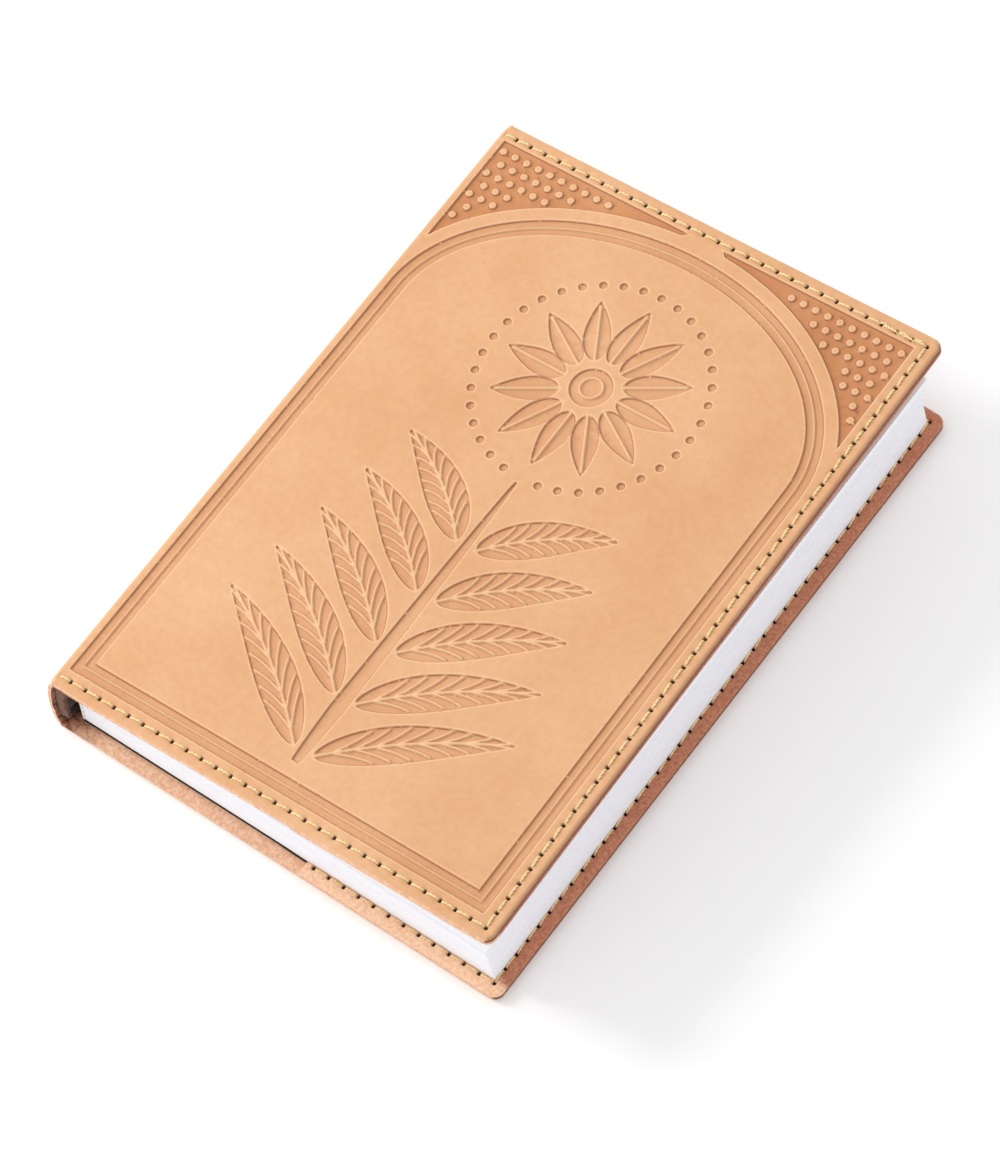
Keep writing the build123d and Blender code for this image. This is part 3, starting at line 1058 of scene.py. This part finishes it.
def profile(t):
    """Return points and inward directions of the leather's outer face round the spine."""
    t = np.atleast_1d(t)[:, None]
    a, b, c, d = profile_ends
    point = (1 - t) ** 3 * a + 3 * (1 - t) ** 2 * t * b + 3 * (1 - t) * t**2 * c + t**3 * d
    ahead = 3 * (1 - t) ** 2 * (b - a) + 6 * (1 - t) * t * (c - b) + 3 * t**2 * (d - c)
    ahead /= np.linalg.norm(ahead, axis=1)[:, None]
    return point, np.stack([ahead[:, 1], -ahead[:, 0]], 1)


def wrap(name, first, last, outer, thickness, half, wrinkle, material, inner_material, columns=90):
    """Build a closed strip of leather along part of the profile."""
    rows = 22
    t = np.linspace(first, last, rows)
    point, inward = profile(t)
    v = np.linspace(-half, half, columns)
    rounding = 0.32 * np.clip(1 - (half - np.abs(v)) / 0.9, 0, 1) ** 2
    tt, vv = np.meshgrid(t, v, indexing="ij")
    ripple = wrinkle * (np.sin(vv * 0.9 + 5 * np.sin(tt * 9)) * 0.5 + np.sin(vv * 0.37 + tt * 31) * 0.3
                        + np.sin(vv * 2.3 - tt * 17) * 0.2)
    fade = np.clip(np.minimum(tt - first, last - tt) / (0.25 * (last - first)), 0, 1)

    def layer(depth):
        place = point[:, None] + inward[:, None] * depth[..., None]
        return np.stack([place[..., 0], vv, place[..., 1]], -1) * MM

    over = layer(np.zeros_like(vv) + outer + rounding)
    under = layer(np.zeros_like(vv) + outer + thickness - rounding + ripple * fade)
    points, faces = slab(over, under)
    piece = make_object(name, points, faces, material)
    piece.data.materials.append(inner_material)
    outward_only(piece)
    cells = (rows - 1) * (columns - 1)
    for polygon in list(piece.data.polygons)[cells:2 * cells]:
        polygon.material_index = 1
    piece.data.set_sharp_from_angle(angle=0.7)
    raw = np.tile(np.clip(1 - (half - np.abs(v)) / 0.5, 0, 1), rows)
    add_attribute(piece, "raw", np.concatenate([raw, raw]))
    # painted light near the strip's ends, where light reaches into the spine
    lit_edge = np.tile(np.clip((0.5 - (half - np.abs(v))) / 0.4, 0, 0.3), rows)
    add_attribute(piece, "lit_edge", np.concatenate([lit_edge, lit_edge]))
    return piece


def point_at(t):
    """Return a point of the profile in the row frame."""
    x, z = profile(t)[0][0]
    return (x * MM, 0, z * MM)


lower_cut, upper_cut = 0.3, 0.7
spine_wrap = wrap("spine_wrap", lower_cut, upper_cut, 0, leather_thick, half_height, 0.25, outer_leather,
                  shaded_fold_leather)
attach(spine_wrap, "spine")
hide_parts("spine_leather")
for name, first, last, node, bodies in (
    ("lower_fold_wrap", 0.0, lower_cut, "spine_fold_lower", ("back_cover", "spine")),
    ("upper_fold_wrap", upper_cut, 1.0, "spine_fold_upper", ("spine", "front_cover")),
):
    fold_piece = wrap(name, first, last, 0, leather_thick, half_height, 0.35, outer_leather, shaded_fold_leather)
    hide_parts(node)
    point_at(first)
    point_at(last)
    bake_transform(fold_piece)
lining_thick = 3.4       # loose, napped and creased, so it stands off the leather
lining_wrinkle = 1.3
lining = wrap("spine_lining_wrap", 0.27, 0.84, leather_thick + 0.1, lining_thick, half_height - 1.2,
              lining_wrinkle, shaded_lining_leather, shaded_lining_leather, columns=140)
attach(lining, "spine")
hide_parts("spine_lining")

# %% [markdown]
# ## Stitches
# Gold waxed thread runs in saddle stitch along tail, fore edge and head. Every stitch is the
# same little two-ply twist that dives into a hole at each end, so Geometry Nodes place one
# stitch on every gap between holes. Each gap is a point that carries its direction, its upward
# direction and its stretch.

# %% Thread material
thread_material, thread_tree, thread_shader = new_material("gold_thread")
thread_place = add_node(thread_tree, "ShaderNodeTexCoord").outputs["Object"]
thread_noise = add_node(thread_tree, "ShaderNodeTexNoise", {"Vector": thread_place, "Scale": 2300.0,
                                                            "Detail": 3.0}).outputs[0]
thread_valley_shade = add_node(thread_tree, "ShaderNodeAttribute", attribute_name="valley_shade").outputs["Fac"]
thread_colour = mix_colour(thread_tree, ramp(thread_tree, thread_noise, 0.35, 0.65), srgb(232, 196, 126),
                           srgb(255, 238, 190))
# painted shade in the groove between the two plies
thread_colour = mix_colour(thread_tree, thread_valley_shade, thread_colour, srgb(158, 108, 46))
thread_tree.links.new(thread_colour, thread_shader.inputs["Base Color"])
thread_shader.inputs["Roughness"].default_value = 0.42
thread_shader.inputs["Specular IOR Level"].default_value = 0.6
thread_bump = add_node(thread_tree, "ShaderNodeBump", {"Height": thread_noise, "Strength": 0.3,
                                                       "Distance": 0.0001})
thread_tree.links.new(thread_bump.outputs[0], thread_shader.inputs["Normal"])


# %% One stitch
def make_stitch():
    """Build one two-ply stitch along X, with its face towards +Z, about one pitch long."""
    points, faces, valley_shades = [], [], []
    rings, sides, ply_radius, ply_offset = 12, 6, 0.21, 0.17
    for ply in (0, 1):
        for i in range(rings):
            s = i / (rings - 1)
            x = (s - 0.5) * (stitch_pitch - 0.9)
            lift = 0.34 * (1 - abs(2 * s - 1) ** 3.2) - 0.5 * abs(2 * s - 1) ** 7
            twist = math.pi * ply + s * math.pi * 3.2
            for j in range(sides):
                a = 2 * math.pi * j / sides
                y = ply_offset * math.cos(twist) + ply_radius * math.cos(a)
                z = lift + ply_offset * math.sin(twist) + ply_radius * math.sin(a)
                points.append((x * MM, y * MM, z * MM))
                # painted shade on the side of each ply that faces the other
                valley_shades.append(max(0.0, -math.cos(a - twist)) ** 2 * 0.8)
        base = ply * rings * sides
        for i in range(rings - 1):
            for j in range(sides):
                a, b = base + i * sides + j, base + i * sides + (j + 1) % sides
                faces.append((a, b, b + sides, a + sides))
        faces.append(tuple(base + j for j in range(sides))[::-1])
        faces.append(tuple(base + (rings - 1) * sides + j for j in range(sides)))
    stitch = make_object("one_stitch", points, faces, thread_material)
    outward_only(stitch)
    add_attribute(stitch, "valley_shade", valley_shades)
    return stitch


one_stitch = make_stitch()

# %% Stitch tree
sewing = bpy.data.node_groups.new("saddle_stitch", "GeometryNodeTree")
sewing.interface.new_socket("Geometry", in_out="INPUT", socket_type="NodeSocketGeometry")
sewing.interface.new_socket("Stitch", in_out="INPUT", socket_type="NodeSocketObject")
sewing.interface.new_socket("Plumpness", in_out="INPUT", socket_type="NodeSocketFloat")
sewing.interface.new_socket("Wander", in_out="INPUT", socket_type="NodeSocketFloat")
sewing.interface.new_socket("Seed", in_out="INPUT", socket_type="NodeSocketInt")
sewing.interface.new_socket("Geometry", in_out="OUTPUT", socket_type="NodeSocketGeometry")
sew_in = add_node(sewing, "NodeGroupInput")
along = add_node(sewing, "GeometryNodeInputNamedAttribute", {"Name": "along"}, data_type="FLOAT_VECTOR")
upward = add_node(sewing, "GeometryNodeInputNamedAttribute", {"Name": "upward"}, data_type="FLOAT_VECTOR")
stretch = add_node(sewing, "GeometryNodeInputNamedAttribute", {"Name": "stretch"}, data_type="FLOAT")
turn = add_node(sewing, "FunctionNodeAxesToRotation", {"Primary Axis": along.outputs[0],
                "Secondary Axis": upward.outputs[0]}, primary_axis="X", secondary_axis="Z")
wander = add_node(sewing, "FunctionNodeRandomValue", {"Seed": sew_in.outputs["Seed"]}, data_type="FLOAT")
wander.inputs[2].default_value = -1.0
wander.inputs[3].default_value = 1.0
angle = add_node(sewing, "ShaderNodeMath", {0: wander.outputs[1], 1: sew_in.outputs["Wander"]},
                 operation="MULTIPLY")
swing = add_node(sewing, "ShaderNodeCombineXYZ", {"Z": angle.outputs[0]})
swung = add_node(sewing, "FunctionNodeRotateRotation", {0: turn.outputs[0], 1: swing.outputs[0]},
                 rotation_space="LOCAL")
size = add_node(sewing, "ShaderNodeCombineXYZ", {"X": stretch.outputs[0], "Y": sew_in.outputs["Plumpness"],
                                                 "Z": sew_in.outputs["Plumpness"]})
stitch_shape = add_node(sewing, "GeometryNodeObjectInfo", {"Object": sew_in.outputs["Stitch"]})
as_points = add_node(sewing, "GeometryNodeMeshToPoints", {"Mesh": sew_in.outputs["Geometry"]})
copies = add_node(sewing, "GeometryNodeInstanceOnPoints", {
    "Points": as_points.outputs[0], "Instance": stitch_shape.outputs["Geometry"],
    "Rotation": swung.outputs[0], "Scale": size.outputs[0]})
real = add_node(sewing, "GeometryNodeRealizeInstances", {"Geometry": copies.outputs[0]})
finish = add_node(sewing, "GeometryNodeSetMaterial", {"Geometry": real.outputs[0],
                                                      "Material": thread_material})
sew_out = add_node(sewing, "NodeGroupOutput")
sewing.links.new(finish.outputs[0], sew_out.inputs[0])


def sew(name, gaps, plumpness=1.0, seed=1):
    """Place a stitch on each gap: (first hole, second hole, upward), in the row frame, metres."""
    middles = [(Vector(a) + Vector(b)) / 2 for a, b, _ in gaps]
    mesh = bpy.data.meshes.new(name + "_gaps")
    mesh.from_pydata(middles, [], [])
    for label, values in (("along", [Vector(b) - Vector(a) for a, b, _ in gaps]),
                          ("upward", [Vector(up) for _, _, up in gaps])):
        attribute = mesh.attributes.new(label, "FLOAT_VECTOR", "POINT")
        attribute.data.foreach_set("vector", [c for value in values for c in value.normalized()])
    spread = mesh.attributes.new("stretch", "FLOAT", "POINT")
    spread.data.foreach_set("value", [(Vector(b) - Vector(a)).length / MM / stitch_pitch
                                      for a, b, _ in gaps])
    gaps_object = bpy.data.objects.new(name + "_gaps", mesh)
    bpy.context.collection.objects.link(gaps_object)
    modifier = gaps_object.modifiers.new("sewing", "NODES")
    modifier.node_group = sewing
    sockets = {item.name: item.identifier for item in sewing.interface.items_tree if item.in_out == "INPUT"}
    modifier[sockets["Stitch"]] = one_stitch
    modifier[sockets["Plumpness"]] = plumpness
    modifier[sockets["Wander"]] = 0.06
    modifier[sockets["Seed"]] = seed
    bpy.context.view_layer.update()
    ready = gaps_object.evaluated_get(bpy.context.evaluated_depsgraph_get())
    result = bpy.data.meshes.new_from_object(ready)
    bpy.data.objects.remove(gaps_object)
    result.name = name
    piece = bpy.data.objects.new(name, result)
    bpy.context.collection.objects.link(piece)
    print(f"{name}: {len(gaps)} stitches")
    return piece


def board_gaps(place, start, face, toward):
    """List the gaps between neighbouring holes of a board, on one of its faces."""
    holes = stitch_holes(start)
    if start == 0:          # the thread comes from the spine
        holes = np.vstack([holes[0] * (0, 1), holes, holes[-1] * (0, 1)])
    gaps = []
    for a, b in zip(holes[:-1], holes[1:]):
        if np.linalg.norm(b - a) > stitch_pitch * 1.5:
            continue
        middle = (a + b) / 2
        up = place(*middle, face + toward) - place(*middle, face)
        level = face - toward * 0.12
        run = (b - a) / np.linalg.norm(b - a)
        slant = 0.16 * np.array([-run[1], run[0]])
        gaps.append((place(*(a - slant), level), place(*(b + slant), level), up))
    return gaps


def knot_gaps():
    """List the doubled stitches that lock the thread on the head edge, near the fore corner."""
    extra = []
    for k, (u, drift) in enumerate(((6.2, 0.5), (9.4, -0.45), (11.6, 0.35), (14.8, -0.4), (18.2, 0.3))):
        v = half_height - stitch_inset + drift * 0.6
        reach = 2.1 if k % 2 else 1.6
        a = front_point(board_width - u - reach, v - 0.35 * drift, 0.22)
        b = front_point(board_width - u + reach, v + 0.55 * drift, 0.22)
        up = front_point(board_width - u, v, 1.0) - front_point(board_width - u, v, 0.0)
        extra.append((a, b, up))
    return extra


# %% Sew the boards
for name, place, start, face, toward, body, node in (
    ("front_outer_stitches", front_point, 0, 0.0, 1, "front_cover", "front_outer_thread"),
    ("front_inner_stitches", front_point, pocket_mouth, -cover_stack, -1, "front_cover",
     "front_inner_thread"),
    ("back_outer_stitches", back_point, 0, 0.0, 1, "back_cover", "back_outer_thread"),
    ("back_inner_stitches", back_point, pocket_mouth, -cover_stack, -1, "back_cover", "back_inner_thread"),
):
    extra = knot_gaps() if name == "front_outer_stitches" else []
    under = name == "back_outer_stitches"       # pressed flat by the weight of the book
    gaps = board_gaps(place, start, face - 0.35 * under, toward) + extra
    line = sew(name, gaps, plumpness=0.7 if under else 0.82 if name == "back_inner_stitches" else 1.0)
    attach(line, body)
    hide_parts(node)


# %% Sew the spine
def wrap_gaps(first, last):
    """List the gaps of the stitch lines that cross the spine, at the tail and the head."""
    t = np.linspace(0.02, 0.98, 200)
    path, inward = profile(t)
    reach = np.r_[0, np.cumsum(np.linalg.norm(np.diff(path, axis=0), axis=1))]
    count = int(round(reach[-1] / stitch_pitch))
    gaps = []
    for s0, s1 in zip(np.linspace(0, reach[-1], count + 1)[:-1], np.linspace(0, reach[-1], count + 1)[1:]):
        middle = np.interp((s0 + s1) / 2, reach, t)
        if not first <= middle < last:
            continue
        for v in (-1, 1):
            ends = []
            for s in (s0, s1):
                point, inner = profile(np.interp(s, reach, t))
                x, z = point[0] + inner[0] * 0.12
                ends.append((x * MM, v * (half_height - stitch_inset) * MM, z * MM))
            inner = profile(middle)[1][0]
            gaps.append((*ends, (-inner[0], 0, -inner[1])))
    return gaps


spine_line = sew("spine_stitches", wrap_gaps(lower_cut, upper_cut))
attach(spine_line, "spine")
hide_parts("spine_thread")
for name, first, last, bodies in (("lower_fold_stitches", 0.0, lower_cut, ("back_cover", "spine")),
                                  ("upper_fold_stitches", upper_cut, 1.0, ("spine", "front_cover"))):
    fold_line = sew(name, wrap_gaps(first, last))
    point_at(first)
    point_at(last)
    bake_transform(fold_line)
bpy.data.objects.remove(one_stitch)

# %% Floor
floor_material, floor_tree, floor_shader = new_material("studio_floor")
floor_shader.inputs["Base Color"].default_value = (0.97, 0.97, 0.97, 1)
floor_shader.inputs["Roughness"].default_value = 0.9
floor_corners = [(-3, -3, 0), (3, -3, 0), (3, 3, 0), (-3, 3, 0)]
floor = make_object("floor", floor_corners, [(0, 1, 2, 3)], floor_material)
floor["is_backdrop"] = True

# %% Finish
low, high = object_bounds()
